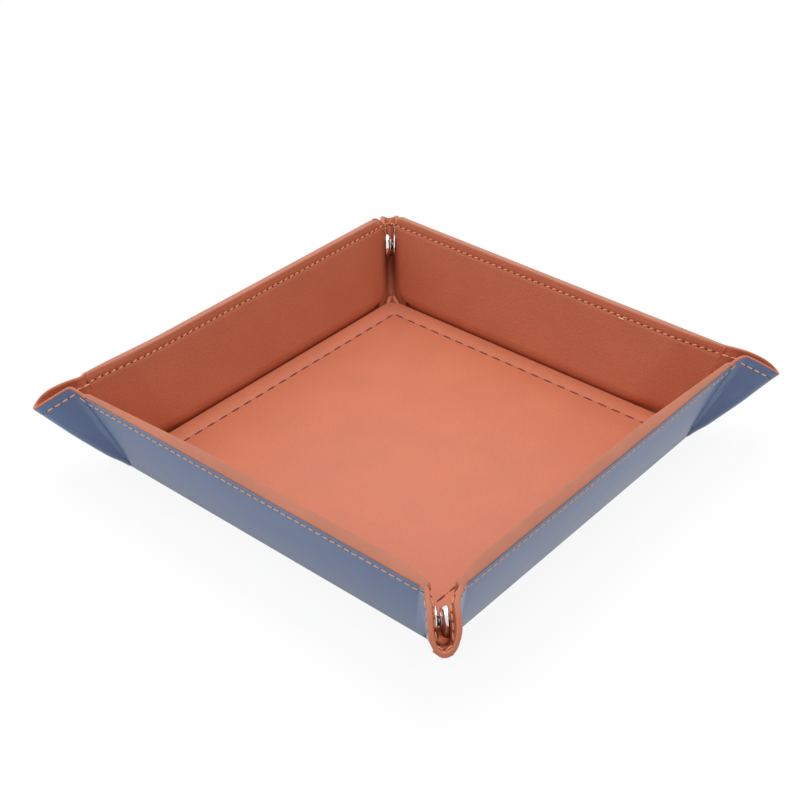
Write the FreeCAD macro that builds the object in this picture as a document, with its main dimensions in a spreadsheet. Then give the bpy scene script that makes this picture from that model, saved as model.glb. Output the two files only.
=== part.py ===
# Square valet tray: one sheet of lining and one of cover, bonded round stiff boards, with four walls
# that fold up and are pinched at the corners into ears, each ear held by a snap fastener.
# Millimetres, +Z up, origin at the middle of the underside, walls along X and Y.
import FreeCAD, Part
import os
import Sketcher
from types import SimpleNamespace

# Driving sizes
LENGTHS_AND_ANGLES = {
    # fold line to fold line on the table
    "base_side": 170.0,
    # wall from its fold to its rim, and its lean from upright in degrees
    "wall_slant": 40.6,
    "wall_lean_angle": 18.8,
    # sheets and boards
    "lining_thick": 1.2,
    "cover_thick": 1.2,
    "wall_board_thick": 2.9,
    "base_board_thick": 2.2,
    # corner rounding of the base panel, of the cover under it, and of the whole sheet laid flat
    "base_corner": 7.0,
    "cover_corner": 1.5,
    "sheet_corner": 32.0,
    # corner rounding of the wall panels at the fold and at the rim, and rounding of the rim's edges
    "panel_low_corner": 6.0,
    "panel_top_corner": 2.2,
    "rim_inner_edge": 1.0,
    "rim_outer_edge": 0.5,
    # lining face of an ear half to the corner's diagonal plane
    "ear_half_gap": 2.3,
    # rise of the ear's lower fold from level, in degrees
    "ear_slope_angle": 39.5,
    # where the ear halves begin, and how far from the base corner their lower edges stay drawn apart
    "ear_root": 4.0,
    "ear_parting": 2.1,
    "ear_parting_length": 38.0,
    # snap fastener, placed along the ear's lower fold and up from it
    "snap_along": 25.5,
    "snap_above": 10.7,
    "snap_width": 11.6,
    "stud_plate": 0.8,
    "stud_height": 3.5,
    "stud_width": 4.0,
    "socket_height": 3.0,
    "socket_floor": 0.8,
    "socket_bore": 5.4,
    "socket_mouth": 7.0,
    "post_width": 3.0,
    "post_cap_width": 8.0,
    "post_cap_thick": 0.5,
    "snap_edge": 0.5,
    # room left between pieces that move apart, and how far cuts run past what they cut
    "fold_gap": 0.15,
    "overrun": 60.0,
}
WALLS = ["right", "back", "left", "front"]
CORNERS = ["back_right", "back_left", "front_left", "front_right"]
QUARTER_TURN = 90
HALF_SHARE = 0.5

doc = FreeCAD.newDocument("valet_tray")
sheet = doc.addObject("Spreadsheet::Sheet", "Sizes")
for row, (alias, number) in enumerate(LENGTHS_AND_ANGLES.items(), start=1):
    sheet.set(f"A{row}", alias)
    sheet.set(f"B{row}", str(number))
    sheet.setAlias(f"B{row}", alias)
doc.recompute()

size = SimpleNamespace(**{alias: f"Sizes.{alias}" for alias in LENGTHS_AND_ANGLES})
nodes = []

# Worked-out sizes, as expressions over the sheet
half = f"({size.base_side} / 2)"
fold = f"({QUARTER_TURN} - {size.wall_lean_angle})"
mitre = f"tan({fold} / 2)"
skin = f"({size.cover_thick} + {size.lining_thick})"
wall_thick = f"({skin} + {size.wall_board_thick})"
wall_board_top = f"({size.cover_thick} + {size.wall_board_thick})"
base_board_top = f"({size.cover_thick} + {size.base_board_thick})"

# An ear half turns out of its wall about a crease that runs up the wall at a slant
flap_turn = f"(acos(sin({fold}) / sqrt(2)) / 1 deg)"
crease_stretch = f"sqrt(1 + cos({fold})^2)"
crease_setback = f"({skin} * tan({flap_turn} / 2) + {size.fold_gap})"
crease_foot = f"({half} - {skin} * sin({fold}) - sqrt(2) * {size.ear_half_gap})"
skin_foot = f"({crease_foot} - {crease_setback} * {crease_stretch})"
panel_foot = f"({crease_foot} - {size.wall_board_thick} * sin({fold}))"
board_foot = f"({panel_foot} - {size.lining_thick} * {crease_stretch})"
wall_spread = f"cos({fold})"
corner_half_angle = f"(({QUARTER_TURN} - atan({wall_spread}) / 1 deg) / 2)"
panel_low = f"({size.fold_gap} + {skin} * {mitre})"

# The same crease seen in the corner's diagonal plane, measured along the ear's lower fold and up from it
crease_out = f"(-sqrt(2) * {skin} * sin({fold}) - {size.ear_half_gap})"
crease_up = f"({skin} * cos({fold}))"
crease_along = f"({crease_out} * cos({size.ear_slope_angle}) + {crease_up} * sin({size.ear_slope_angle}))"
crease_above = f"({crease_up} * cos({size.ear_slope_angle}) - {crease_out} * sin({size.ear_slope_angle}))"
crease_slope = f"(atan(tan({fold}) / sqrt(2)) / 1 deg - {size.ear_slope_angle})"
ear_half_width = f"({size.ear_half_gap} + {skin})"
rim_centre = f"(sqrt(2) * ({size.wall_slant} - {size.sheet_corner}))"
ear_length = f"({rim_centre} + {size.sheet_corner})"

ORIGIN_POINT = (-1, 1)
START, END, CENTRE = range(1, 4)


def value(expression):
    """Number that an expression over the sheet gives."""
    return float(sheet.evalExpression(expression))


def new_body(node, placement):
    """Empty body with a place of its own, listed as one node."""
    body = doc.addObject("PartDesign::Body", node)
    body.Label = node
    body.Placement = placement
    nodes.append(body)
    return body


def new_sketch(body, name, role, along="0", across="0", lift="0", turn="0"):
    """Sketch on one of the body's origin planes, shifted in it, lifted off it and turned."""
    sketch = body.newObject("Sketcher::SketchObject", f"{body.Name}_{name}")
    plane = next(plane for plane in body.Origin.OriginFeatures if plane.Role == role)
    sketch.AttachmentSupport = [(plane, "")]
    sketch.MapMode = "FlatFace"
    sketch.setExpression("AttachmentOffset.Base.x", along)
    sketch.setExpression("AttachmentOffset.Base.y", across)
    sketch.setExpression("AttachmentOffset.Base.z", lift)
    sketch.setExpression("AttachmentOffset.Rotation.Angle", turn)
    return sketch


def bind(sketch, kind, *where_and_expression):
    """Dimension whose value follows an expression."""
    *where, expression = where_and_expression
    number = sketch.addConstraint(Sketcher.Constraint(kind, *where, value(expression)))
    sketch.setExpression(f"Constraints[{number}]", expression)


def draw(sketch, corners):
    """Closed outline through corners (x, y); (x, y, radius, centre x, centre y) starts an arc."""
    points = [FreeCAD.Vector(value(corner[0]), value(corner[1]), 0) for corner in corners]
    runs = []
    pinned = [["DistanceX", "DistanceY"] for corner in corners]
    for index, corner in enumerate(corners):
        after = (index + 1) % len(points)
        begin, finish = points[index], points[after]
        if len(corner) == 2:
            runs.append((sketch.addGeometry(Part.LineSegment(begin, finish), False), START, END))
            continue
        centre = FreeCAD.Vector(value(corner[3]), value(corner[4]), 0)
        middle = centre + ((begin + finish) * HALF_SHARE - centre).normalize() * value(corner[2])
        arc = sketch.addGeometry(Part.Arc(begin, middle, finish), False)
        turns_left = (begin - centre).cross(finish - centre).z > 0
        runs.append((arc, START, END) if turns_left else (arc, END, START))
        bind(sketch, "Radius", arc, corner[2])
        bind(sketch, "DistanceX", *ORIGIN_POINT, arc, CENTRE, corner[3])
        bind(sketch, "DistanceY", *ORIGIN_POINT, arc, CENTRE, corner[4])
        for corner_index in (index, after):
            spoke = points[corner_index] - centre
            pinned[corner_index] = ["DistanceY"] if abs(spoke.x) > abs(spoke.y) else ["DistanceX"]
    for index, (run, first, _) in enumerate(runs):
        before, _, last = runs[index - 1]
        sketch.addConstraint(Sketcher.Constraint("Coincident", before, last, run, first))
        for kind in pinned[index]:
            bind(sketch, kind, *ORIGIN_POINT, run, first, corners[index][0 if kind == "DistanceX" else 1])


def draw_circle(sketch, x, y, width):
    """Circle of a given width about a point."""
    place = FreeCAD.Vector(value(x), value(y), 0)
    circle = sketch.addGeometry(Part.Circle(place, FreeCAD.Vector(0, 0, 1), value(width) / 2), False)
    bind(sketch, "Diameter", circle, width)
    bind(sketch, "DistanceX", *ORIGIN_POINT, circle, CENTRE, x)
    bind(sketch, "DistanceY", *ORIGIN_POINT, circle, CENTRE, y)


def draw_box(sketch, left, low, right, high):
    """Rectangle between two corners."""
    draw(sketch, [(left, low), (right, low), (right, high), (left, high)])


def draw_round_square(sketch, reach, radius):
    """Square of a given half side with rounded corners."""
    inner = f"({reach} - {radius})"
    corners = []
    for x_sign, y_sign in ((1, -1), (1, 1), (-1, 1), (-1, -1)):
        centre = (f"{x_sign} * {inner}", f"{y_sign} * {inner}")
        on_x = (f"{x_sign} * {reach}", f"{y_sign} * {inner}")
        on_y = (f"{x_sign} * {inner}", f"{y_sign} * {reach}")
        begin, finish = (on_y, on_x) if x_sign * y_sign < 0 else (on_x, on_y)
        corners.append((*begin, radius, *centre))
        corners.append(finish)
    draw(sketch, corners)


def draw_wall_shape(sketch, foot, low, high):
    """Wall outline between two heights up the slant, with ends that spread along the creases."""
    low_reach = f"({foot} + {low} * {wall_spread})"
    high_reach = f"({foot} + {high} * {wall_spread})"
    draw(sketch, [(f"-{low_reach}", low), (low_reach, low), (high_reach, high), (f"-{high_reach}", high)])


def draw_round_wall_shape(sketch, foot, low, high, low_corner, high_corner):
    """The same outline with rounded corners."""
    low_side = f"({low_corner} * tan({corner_half_angle}))"
    high_side = f"({high_corner} / tan({corner_half_angle}))"
    low_reach = f"({foot} + {low} * {wall_spread})"
    high_reach = f"({foot} + {high} * {wall_spread})"
    low_flat = f"({low_reach} - {low_side})"
    low_end = f"({low_reach} + {low_side} * {wall_spread} / {crease_stretch})"
    low_end_height = f"({low} + {low_side} / {crease_stretch})"
    low_centre = f"({low} + {low_corner})"
    high_flat = f"({high_reach} - {high_side})"
    high_end = f"({high_reach} - {high_side} * {wall_spread} / {crease_stretch})"
    high_end_height = f"({high} - {high_side} / {crease_stretch})"
    high_centre = f"({high} - {high_corner})"
    draw(sketch, [
        (low_flat, low, low_corner, low_flat, low_centre),
        (low_end, low_end_height),
        (high_end, high_end_height, high_corner, high_flat, high_centre),
        (high_flat, high),
        (f"-{high_flat}", high, high_corner, f"-{high_flat}", high_centre),
        (f"-{high_end}", high_end_height),
        (f"-{low_end}", low_end_height, low_corner, f"-{low_flat}", low_centre),
        (f"-{low_flat}", low),
    ])


def pad(body, sketch, length, sides="One side", taper="0"):
    """Solid of a given length on a sketch."""
    feature = body.newObject("PartDesign::Pad", f"{sketch.Name}_pad")
    feature.Profile = sketch
    feature.SideType = sides
    feature.setExpression("Length", length)
    feature.setExpression("TaperAngle", taper)


def cut(body, sketch, depth=None, upward=False):
    """Pocket of a given depth, or right through both ways; each has to take something away."""
    doc.recompute()
    before = body.Shape.Volume
    feature = body.newObject("PartDesign::Pocket", f"{sketch.Name}_cut")
    feature.Profile = sketch
    feature.Reversed = upward
    if depth is None:
        feature.Type = "ThroughAll"
        feature.SideType = "Symmetric"
    else:
        feature.setExpression("Length", depth)
    doc.recompute()
    if body.Shape.Volume >= before:
        raise RuntimeError(f"{sketch.Name} cuts nothing")


def spin(body, profile):
    """Turned piece about the body's own Z axis, from corners (radius, height)."""
    sketch = new_sketch(body, "profile", "XZ_Plane")
    draw(sketch, profile)
    feature = body.newObject("PartDesign::Revolution", f"{body.Name}_turned")
    feature.Profile = sketch
    feature.ReferenceAxis = (sketch, ["V_Axis"])


# Places
def frame_of(origin, x_axis, y_axis, z_axis, quarter):
    """Placement from an origin and three axes, turned round the tray by quarter turns."""
    own = FreeCAD.Placement(origin, FreeCAD.Rotation(x_axis, y_axis, z_axis, "XYZ"))
    about_middle = FreeCAD.Rotation(FreeCAD.Vector(0, 0, 1), QUARTER_TURN * quarter)
    return FreeCAD.Placement(FreeCAD.Vector(0, 0, 0), about_middle).multiply(own)


def wall_place(quarter):
    """Wall frame: X along the wall, Y up the slant from the fold, Z into the tray."""
    outward = value(f"cos({fold})")
    upward = value(f"sin({fold})")
    return frame_of(
        FreeCAD.Vector(value(half), 0, 0),
        FreeCAD.Vector(0, -1, 0),
        FreeCAD.Vector(outward, 0, upward),
        FreeCAD.Vector(-upward, 0, outward),
        quarter,
    )


def ear_place(quarter):
    """Ear frame: X along the lower fold from the base corner, Y up from it, Z across to one wall."""
    share = value("1 / sqrt(2)")
    level = value(f"cos({size.ear_slope_angle})")
    rise = value(f"sin({size.ear_slope_angle})")
    return frame_of(
        FreeCAD.Vector(value(half), value(half), 0),
        FreeCAD.Vector(level * share, level * share, rise),
        FreeCAD.Vector(-rise * share, -rise * share, level),
        FreeCAD.Vector(share, -share, 0),
        quarter,
    )


def snap_place(quarter, hand):
    """Snap frame: origin on the lining face of one ear half, Z towards the other half."""
    local = FreeCAD.Placement(
        FreeCAD.Vector(value(size.snap_along), value(size.snap_above), hand * value(size.ear_half_gap)),
        FreeCAD.Rotation(FreeCAD.Vector(1, 0, 0), 2 * QUARTER_TURN if hand > 0 else 0),
    )
    return ear_place(quarter).multiply(local)


# Base: cover, board and lining, with edges that slope along the plane where base and wall meet
def make_base():
    flat = FreeCAD.Placement()
    cover_reach = f"({half} - {size.fold_gap})"
    lining_reach = f"({cover_reach} - {size.cover_thick} * {mitre})"
    board_reach = f"({cover_reach} - {base_board_top} * {mitre} - {size.lining_thick})"
    slope = f"-{fold} / 2"

    cover = new_body("base_cover", flat)
    outline = new_sketch(cover, "outline", "XY_Plane")
    draw_round_square(outline, cover_reach, size.cover_corner)
    pad(cover, outline, size.cover_thick, taper=slope)

    board = new_body("base_board", flat)
    outline = new_sketch(board, "outline", "XY_Plane", lift=size.cover_thick)
    draw_round_square(outline, board_reach, size.base_corner)
    pad(board, outline, size.base_board_thick)

    lining = new_body("base_lining", flat)
    outline = new_sketch(lining, "outline", "XY_Plane", lift=size.cover_thick)
    draw_round_square(outline, lining_reach, size.base_corner)
    pad(lining, outline, f"{size.base_board_thick} + {size.lining_thick}", taper=slope)
    hollow = new_sketch(lining, "board_hollow", "XY_Plane", lift=size.cover_thick)
    draw_round_square(hollow, board_reach, size.base_corner)
    cut(lining, hollow, size.base_board_thick, upward=True)


# Walls: cover outside, board, and a lining that turns over the board's top and ends
def make_wall(quarter):
    name = f"{WALLS[quarter]}_wall"
    place = wall_place(quarter)
    run = f"({size.base_side} + 2 * {size.wall_slant})"
    board_low = f"({size.fold_gap} + {wall_board_top} * {mitre} + {size.lining_thick})"
    board_high = f"({size.wall_slant} - {size.lining_thick})"
    panel_corners = (size.panel_low_corner, size.panel_top_corner)
    board_corners = [f"({corner} * {HALF_SHARE})" for corner in panel_corners]

    def slab(body, low, high, rim):
        """Slab between two depths of the wall, sloped at the fold, with ends cut along the creases."""
        section = new_sketch(body, "section", "YZ_Plane")
        low_edge = f"({size.fold_gap} + {low} * {mitre})"
        high_edge = f"({size.fold_gap} + {high} * {mitre})"
        draw(section, [(low_edge, low), *rim, (high_edge, high)])
        pad(body, section, run, sides="Symmetric")
        ends = new_sketch(body, "ends", "XY_Plane")
        draw_box(ends, f"-{run}", f"-{size.overrun}", run, f"{size.wall_slant} + {size.overrun}")
        draw_wall_shape(ends, skin_foot, f"-{size.fold_gap}", f"({size.wall_slant} + {size.fold_gap})")
        cut(body, ends)

    outer_start = f"({size.wall_slant} - {size.rim_outer_edge})"
    cover = new_body(f"{name}_cover", place)
    slab(cover, "0", size.cover_thick, [
        (outer_start, "0", size.rim_outer_edge, outer_start, size.rim_outer_edge),
        (size.wall_slant, size.rim_outer_edge),
        (size.wall_slant, size.cover_thick),
    ])

    board = new_body(f"{name}_board", place)
    outline = new_sketch(board, "outline", "XY_Plane", lift=size.cover_thick)
    draw_round_wall_shape(outline, board_foot, board_low, board_high, *board_corners)
    pad(board, outline, size.wall_board_thick)

    inner_start = f"({wall_thick} - {size.rim_inner_edge})"
    inner_end = f"({size.wall_slant} - {size.rim_inner_edge})"
    lining = new_body(f"{name}_lining", place)
    slab(lining, size.cover_thick, wall_thick, [
        (size.wall_slant, size.cover_thick),
        (size.wall_slant, inner_start, size.rim_inner_edge, inner_end, inner_start),
        (inner_end, wall_thick),
    ])
    step = new_sketch(lining, "panel_ends", "XY_Plane", lift=wall_thick)
    draw_box(step, f"-{run}", f"-{size.overrun}", run, f"{size.wall_slant} + {size.overrun}")
    panel_high = f"({size.wall_slant} + {size.fold_gap})"
    draw_round_wall_shape(step, panel_foot, panel_low, panel_high, *panel_corners)
    cut(lining, step, size.wall_board_thick)
    hollow = new_sketch(lining, "board_hollow", "XY_Plane", lift=size.cover_thick)
    draw_round_wall_shape(hollow, board_foot, board_low, board_high, *board_corners)
    cut(lining, hollow, size.wall_board_thick, upward=True)


# Ear halves: a flat leg beside the snap and a quarter round to the lower fold
def make_ear_half(quarter, hand):
    own, other = (quarter, (quarter + 1) % 4) if hand > 0 else ((quarter + 1) % 4, quarter)
    name = f"{WALLS[own]}_wall_{WALLS[other]}_flap"
    place = ear_place(quarter)
    bend_level = ear_half_width
    leg_end = f"({ear_half_width} + {ear_length})"

    def layer(node, inner, outer):
        """One sheet of the half, between two distances from the diagonal plane."""
        body = new_body(node, place)
        section = new_sketch(body, "section", "YZ_Plane", lift=size.ear_root)
        draw(section, [
            (f"{bend_level} - {outer}", "0", outer, bend_level, "0"),
            (bend_level, f"{hand} * {outer}"),
            (leg_end, f"{hand} * {outer}"),
            (leg_end, f"{hand} * {inner}"),
            (bend_level, f"{hand} * {inner}", inner, bend_level, "0"),
            (f"{bend_level} - {inner}", "0"),
        ])
        pad(body, section, ear_length)
        rim = new_sketch(body, "rim", "XY_Plane")
        reach = f"({ear_length} + {size.overrun})"
        draw_box(rim, f"-{reach}", f"-{reach}", reach, reach)
        draw_circle(rim, rim_centre, size.cover_thick, f"(2 * {size.sheet_corner})")
        cut(body, rim)
        crease = new_sketch(body, "crease", "XY_Plane", crease_along, crease_above, turn=crease_slope)
        draw_box(crease, f"-{reach}", f"-{crease_setback}", reach, reach)
        cut(body, crease)
        parting = new_sketch(body, "parting", "XZ_Plane")
        draw(parting, [
            ("0", f"{-hand} * {size.overrun}"),
            (reach, f"{-hand} * {size.overrun}"),
            (reach, f"{hand} * {size.fold_gap}"),
            (size.ear_parting_length, f"{hand} * {size.fold_gap}"),
            ("0", f"{hand} * {size.ear_parting}"),
        ])
        cut(body, parting)
        return body

    between = f"({size.ear_half_gap} + {size.lining_thick})"
    lining = layer(f"{name}_lining", size.ear_half_gap, between)
    hole = new_sketch(lining, "post_hole", "XY_Plane")
    draw_circle(hole, size.snap_along, size.snap_above, size.post_width)
    cut(lining, hole)

    cover = layer(f"{name}_cover", between, ear_half_width)
    recess = new_sketch(cover, "post_cap_recess", "XY_Plane", lift=f"{hand} * {between}")
    draw_circle(recess, size.snap_along, size.snap_above, size.post_cap_width)
    cut(cover, recess, size.post_cap_thick, upward=hand > 0)


# Snap fasteners: a stud on one half, a socket on the other, each riveted by a post from behind the lining
def make_snap(quarter):
    name = f"{CORNERS[quarter]}_snap"
    rim = f"({size.snap_width} / 2)"
    post = f"({size.post_width} / 2)"
    cap = f"({size.post_cap_width} / 2)"
    stud = f"({size.stud_width} / 2)"
    bore = f"({size.socket_bore} / 2)"
    mouth = f"({size.socket_mouth} / 2)"
    stud_place = snap_place(quarter, 1)
    socket_place = snap_place(quarter, -1)
    dome_height = f"({size.stud_height} - {stud})"

    spin(new_body(f"{name}_stud", stud_place), [
        ("0", "0"),
        (rim, "0"),
        (rim, f"{size.stud_plate} - {size.snap_edge}"),
        (f"{rim} - {size.snap_edge}", size.stud_plate),
        (f"{stud} + {size.snap_edge}", size.stud_plate),
        (stud, f"{size.stud_plate} + {size.snap_edge}"),
        (stud, dome_height, stud, "0", dome_height),
        ("0", size.stud_height),
    ])
    spin(new_body(f"{name}_socket", socket_place), [
        ("0", "0"),
        (rim, "0"),
        (rim, size.stud_plate),
        (f"({rim} + {mouth}) / 2", size.socket_height),
        (mouth, size.socket_height),
        (bore, f"({size.socket_height} + {size.socket_floor}) / 2"),
        (bore, size.socket_floor),
        ("0", size.socket_floor),
    ])
    for part, place in (("stud_post", stud_place), ("socket_post", socket_place)):
        spin(new_body(f"{name}_{part}", place), [
            ("0", f"-({size.lining_thick} + {size.post_cap_thick})"),
            (cap, f"-({size.lining_thick} + {size.post_cap_thick})"),
            (cap, f"-{size.lining_thick}"),
            (post, f"-{size.lining_thick}"),
            (post, "0"),
            ("0", "0"),
        ])


make_base()
for quarter in range(len(WALLS)):
    make_wall(quarter)
    make_ear_half(quarter, 1)
    make_ear_half(quarter, -1)
    make_snap(quarter)
doc.recompute()

# Every object has to be sound before anything is written
for thing in doc.Objects:
    if "Invalid" in thing.State or "Error" in thing.State:
        raise RuntimeError(f"{thing.Label} failed: {thing.State}")
for body in nodes:
    if body.Shape.isNull() or not body.Shape.isValid() or len(body.Shape.Solids) != 1:
        raise RuntimeError(f"{body.Label} is not one sound solid")

os.makedirs("parts", exist_ok=True)
for body in nodes:
    body.Shape.exportStep(f"parts/{body.Label}.step")
    print(f"{body.Label}: {body.Shape.Volume:.1f} mm3")
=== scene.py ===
# %% [markdown]
# # A valet tray with snapped corners
# The tray is one sheet of brown lining and one of blue cover, bonded round stiff boards. Its walls fold
# up, and each corner of the sheet is pinched outwards into an ear that a snap fastener holds shut. The
# solid model is the fixed frame: it is loaded first, and each soft piece is made where its solid lies.

# %% Load the frame
from math import acos, copysign, cos, degrees, exp, hypot, pi, radians, sin, sqrt, tan

import bmesh
import bpy
from mathutils import Matrix, Vector


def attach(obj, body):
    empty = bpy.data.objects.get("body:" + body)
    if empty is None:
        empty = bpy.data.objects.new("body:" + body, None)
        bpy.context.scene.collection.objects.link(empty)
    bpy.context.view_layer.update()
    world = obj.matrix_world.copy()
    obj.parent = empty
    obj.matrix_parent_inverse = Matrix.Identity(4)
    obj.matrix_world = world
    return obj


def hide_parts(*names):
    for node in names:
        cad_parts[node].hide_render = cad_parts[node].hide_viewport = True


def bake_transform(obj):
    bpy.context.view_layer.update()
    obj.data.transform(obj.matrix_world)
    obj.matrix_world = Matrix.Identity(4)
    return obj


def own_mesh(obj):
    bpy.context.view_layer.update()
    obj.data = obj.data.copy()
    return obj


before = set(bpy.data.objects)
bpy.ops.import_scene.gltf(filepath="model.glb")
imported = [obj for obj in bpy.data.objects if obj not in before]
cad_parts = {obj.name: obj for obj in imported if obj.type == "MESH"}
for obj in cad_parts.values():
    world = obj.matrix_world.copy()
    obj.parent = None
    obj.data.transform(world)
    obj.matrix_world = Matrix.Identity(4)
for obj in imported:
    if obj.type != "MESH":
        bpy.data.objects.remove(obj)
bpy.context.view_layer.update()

# %% [markdown]
# ## Camera
# The photograph looks down at about 35 degrees, past the front right corner. A camera could be aimed with
# a constraint, but a matrix built from its own directions also takes the photograph's slight roll.

# %% Camera at the photograph's angle
MM = 0.001
VIEW_TURN = radians(40.47)
VIEW_RISE = radians(34.90)
VIEW_ROLL = radians(-0.32)
VIEW_DISTANCE = 601.75 * MM
AIM_POINT = Vector((0, 0, 17.0 * MM))


def add_object(name, data):
    """Object in the scene for some data."""
    thing = bpy.data.objects.new(name, data)
    bpy.context.scene.collection.objects.link(thing)
    return thing


def own_frame(origin, *axes):
    """Matrix from a thing's own three directions and origin to the tray."""
    return Matrix.Translation(origin) @ Matrix(axes).transposed().to_4x4()


back = Vector((
    sin(VIEW_TURN) * cos(VIEW_RISE),
    -cos(VIEW_TURN) * cos(VIEW_RISE),
    sin(VIEW_RISE),
))
level_right = (-back).cross(Vector((0, 0, 1))).normalized()
level_up = back.cross(level_right)
right = level_right * cos(VIEW_ROLL) + level_up * sin(VIEW_ROLL)
up = back.cross(right)

camera = add_object("camera", bpy.data.cameras.new("camera"))
camera.matrix_world = own_frame(AIM_POINT + back * VIEW_DISTANCE, right, up, back)
camera.data.sensor_width = 36.0
camera.data.lens = 65.33
camera.data.shift_x = -0.0143
camera.data.shift_y = 0.0178
camera.data.clip_start = 0.01
bpy.context.scene.camera = camera
print("camera at", [round(c, 3) for c in camera.matrix_world.translation])

# %% [markdown]
# ## Light, floor and background
# A product shot has wide soft light overhead, a white table, and a dimmer room round it. Area lamps and a
# world that is graded by height give that. The white that the camera sees comes from the Light Path node,
# so that the tray itself isn't lit any brighter for it.

# %% Soft light from above and a graded white world
WHITE = (1, 1, 1, 1)
HORIZON = (0.13, 0.13, 0.14, 1)
bpy.context.scene.view_settings.view_transform = "Standard"


def soft_box(name, place, size, watts):
    """Square lamp that faces the tray."""
    lamp = bpy.data.lights.new(name, "AREA")
    lamp.size = size
    lamp.energy = watts
    box = add_object(name, lamp)
    box.location = place
    box.rotation_euler = (AIM_POINT - Vector(place)).to_track_quat("-Z", "Y").to_euler()


def set_inputs(node, **settings):
    """Sets inputs of a node by name, where _ stands for a blank, and gives the node back."""
    for name, setting in settings.items():
        node.inputs[name.replace("_", " ")].default_value = setting
    return node


def colour_ramp(tree, source, *stops):
    """Colour from a value, by a ramp between two stops of position and colour."""
    ramp = tree.nodes.new("ShaderNodeValToRGB")
    for element, (position, colour) in zip(ramp.color_ramp.elements, stops):
        element.position = position
        element.color = colour
    tree.links.new(source, ramp.inputs["Fac"])
    return ramp.outputs["Color"]


def seen_share(tree):
    """1 for the rays that show the background to the camera, straight on or by way of the metal."""
    ray = tree.nodes.new("ShaderNodeLightPath")
    share = ray.outputs["Is Camera Ray"]
    for kind in ("Is Glossy Ray", "Is Transmission Ray"):
        either = tree.nodes.new("ShaderNodeMath")
        either.operation = "MAXIMUM"
        tree.links.new(share, either.inputs[0])
        tree.links.new(ray.outputs[kind], either.inputs[1])
        share = either.outputs["Value"]
    return share


soft_box("overhead_box", (-0.25, 0.35, 1.1), 1.1, 8.0)
soft_box("side_box", (-1.0, -0.5, 0.7), 0.8, 3.0)

world = bpy.data.worlds.new("studio")
bpy.context.scene.world = world
world.use_nodes = True
tree = world.node_tree
tree.nodes.clear()
sky_coords = tree.nodes.new("ShaderNodeTexCoord")
sky_height = tree.nodes.new("ShaderNodeSeparateXYZ")
tree.links.new(sky_coords.outputs["Generated"], sky_height.inputs["Vector"])
sky = colour_ramp(tree, sky_height.outputs["Z"], (0.05, HORIZON), (0.75, WHITE))
studio_light = set_inputs(tree.nodes.new("ShaderNodeBackground"), Strength=0.98)
seen_white = set_inputs(tree.nodes.new("ShaderNodeBackground"), Color=WHITE, Strength=1.0)
choose = tree.nodes.new("ShaderNodeMixShader")
world_out = tree.nodes.new("ShaderNodeOutputWorld")
tree.links.new(sky, studio_light.inputs["Color"])
tree.links.new(seen_share(tree), choose.inputs["Fac"])
tree.links.new(studio_light.outputs["Background"], choose.inputs[1])
tree.links.new(seen_white.outputs["Background"], choose.inputs[2])
tree.links.new(choose.outputs["Shader"], world_out.inputs["Surface"])
print("world and lamps set")


# %% Pale floor
def new_finish(name, **settings):
    """Material, its node tree, and its main shader with inputs set by name."""
    finish = bpy.data.materials.new(name)
    finish.use_nodes = True
    tree = finish.node_tree
    return finish, tree, set_inputs(tree.nodes["Principled BSDF"], **settings)


FLOOR_REACH = 4.0
FLOOR_DROP = 0.05 * MM
FLOOR_GLOW = 0.9
floor_mesh = bmesh.new()
bmesh.ops.create_grid(floor_mesh, x_segments=1, y_segments=1, size=FLOOR_REACH)
bmesh.ops.translate(floor_mesh, verts=floor_mesh.verts, vec=(0, 0, -FLOOR_DROP))
floor_data = bpy.data.meshes.new("floor")
floor_mesh.to_mesh(floor_data)
floor_mesh.free()
floor = add_object("floor", floor_data)

floor_paint, tree, paper = new_finish(
    "floor_paper", Base_Color=(0.88, 0.88, 0.88, 1), Roughness=0.9, Specular_IOR_Level=0.0,
)
glow = set_inputs(tree.nodes.new("ShaderNodeEmission"), Color=WHITE, Strength=1.0)
share = tree.nodes.new("ShaderNodeMath")
share.operation = "MULTIPLY"
share.inputs[1].default_value = FLOOR_GLOW
lift = tree.nodes.new("ShaderNodeMixShader")
tree.links.new(seen_share(tree), share.inputs[0])
tree.links.new(share.outputs["Value"], lift.inputs["Fac"])
tree.links.new(paper.outputs["BSDF"], lift.inputs[1])
tree.links.new(glow.outputs["Emission"], lift.inputs[2])
tree.links.new(lift.outputs["Shader"], tree.nodes["Material Output"].inputs["Surface"])
floor_data.materials.append(floor_paint)
print("floor laid")

# %% [markdown]
# ## Finishes
# Both sheets are smooth imitation leather: a fine printed grain under a thin coat. A photograph of leather
# would be quicker, but noise and Voronoi textures in Object coordinates have no seams, keep their real size
# and go with the piece into any other scene.


# %% A leather finish from three textures
def srgb(*picked):
    """Linear colour from the 0 to 255 values of a colour picker."""
    parts = [part / 255 for part in picked]
    return (*[p / 12.92 if p <= 0.04045 else ((p + 0.055) / 1.055) ** 2.4 for p in parts], 1)


def shade(colour, factor):
    """The same colour, darker or lighter."""
    return (*[part * factor for part in colour[:3]], 1)


def texture(tree, kind, **settings):
    """Texture node on the piece's own coordinates."""
    coords = tree.nodes.new("ShaderNodeTexCoord")
    node = set_inputs(tree.nodes.new(kind), **settings)
    tree.links.new(coords.outputs["Object"], node.inputs["Vector"])
    return node


def vary_roughness(tree, shader, source, low, high):
    """Roughness that follows a texture between two numbers."""
    dull = set_inputs(tree.nodes.new("ShaderNodeMapRange"), To_Min=low, To_Max=high)
    tree.links.new(source, dull.inputs["Value"])
    tree.links.new(dull.outputs["Result"], shader.inputs["Roughness"])


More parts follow.
